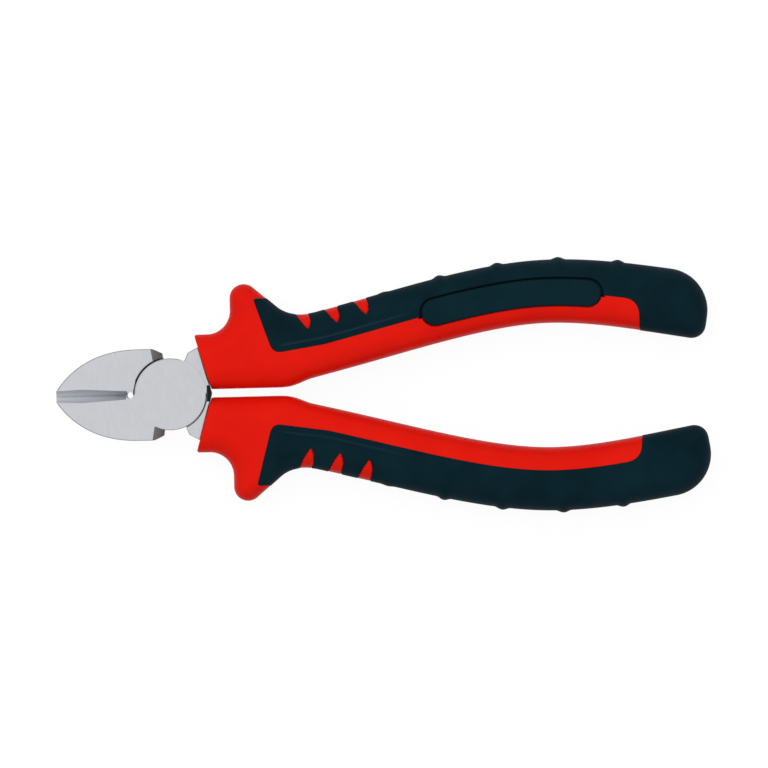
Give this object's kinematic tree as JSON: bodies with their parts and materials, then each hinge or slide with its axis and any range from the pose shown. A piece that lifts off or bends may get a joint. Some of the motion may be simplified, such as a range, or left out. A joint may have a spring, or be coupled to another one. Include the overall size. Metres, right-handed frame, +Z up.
{
  "type": "diagonal cutting pliers",
  "caption": "Diagonal cutting pliers for wire: forged steel jaws on a flush-riveted lap joint, curved guarded handles in hard plastic with a ribbed soft overmould and blank pads.",
  "frame": {"origin": "middle of the pliers' length and width, on the surface that they lie on", "axes": "+X along the tool from the jaws to the handles, +Z up out of the broad face with the pad of the upper handle, +Y towards the upper handle"},
  "size_m": [0.1601, 0.0626, 0.0144],
  "materials": {
    "forged_steel": "fine ground and bright plated, darker on the ground cutting bevels",
    "hard_plastic": "satin moulded red",
    "soft_overmould": "matt moulded blue-black",
    "blank_pad": "matt moulded blue-black, left blank"
  },
  "bodies": {
    "upper_half": {"upper_lever": "forged_steel", "upper_grip_core": "hard_plastic", "upper_soft_grip": "soft_overmould", "upper_pad": "blank_pad", "pivot_rivet": "forged_steel"},
    "lower_half": {"lower_lever": "forged_steel", "lower_grip_core": "hard_plastic", "lower_soft_grip": "soft_overmould", "lower_pad": "blank_pad"}
  },
  "joints": [
    {"name": "jaw_pivot", "type": "hinge", "parent": "upper_half", "child": "lower_half", "pos_m": [-0.05215, 0, 0.0072], "axis": [0, 0, -1], "range_deg": [0, 32]}
  ]
}
